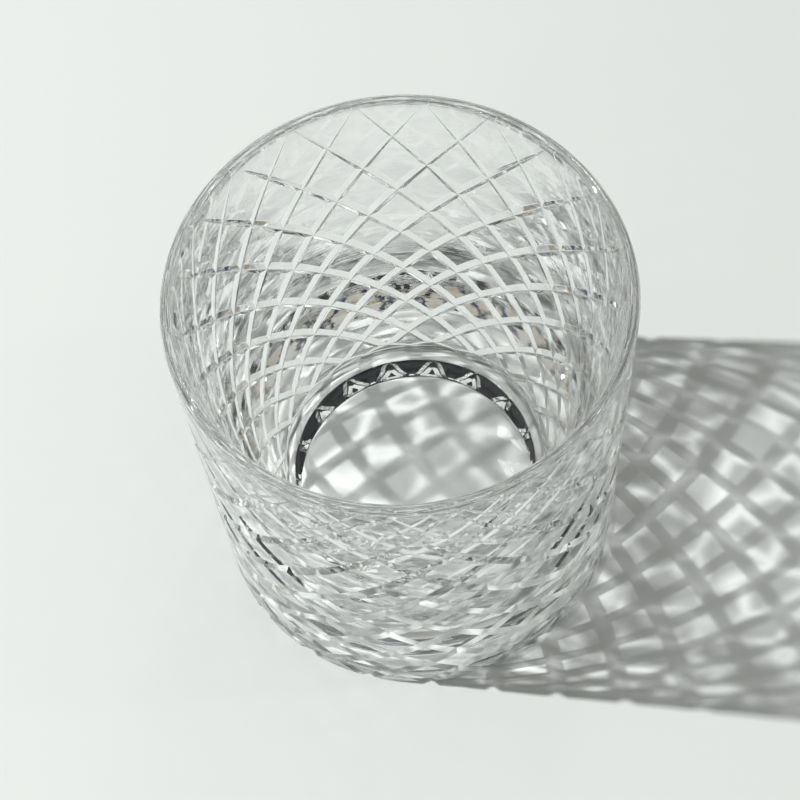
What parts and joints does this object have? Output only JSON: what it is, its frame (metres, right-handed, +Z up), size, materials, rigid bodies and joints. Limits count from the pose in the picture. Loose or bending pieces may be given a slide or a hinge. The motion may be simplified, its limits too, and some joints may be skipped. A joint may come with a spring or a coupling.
{
  "type": "whiskey tumbler",
  "caption": "Straight-sided clear crystal tumbler with a thick base, a plain thin lip and a wall wheel-cut all over in a lattice of diamonds.",
  "frame": {"origin": "centre of the resting plane, under the middle of the foot", "axes": "+Z up along the axis of the glass, towards the rim; the glass is the same all round, in steps of 18 degrees, and the first cut points lie on +X and on +Y"},
  "size_m": [0.082, 0.082, 0.089],
  "materials": {
    "crystal": "polished clear colourless lead crystal"
  },
  "bodies": {
    "root": {"lip": "crystal", "cut_wall": "crystal", "base": "crystal"}
  },
  "joints": []
}
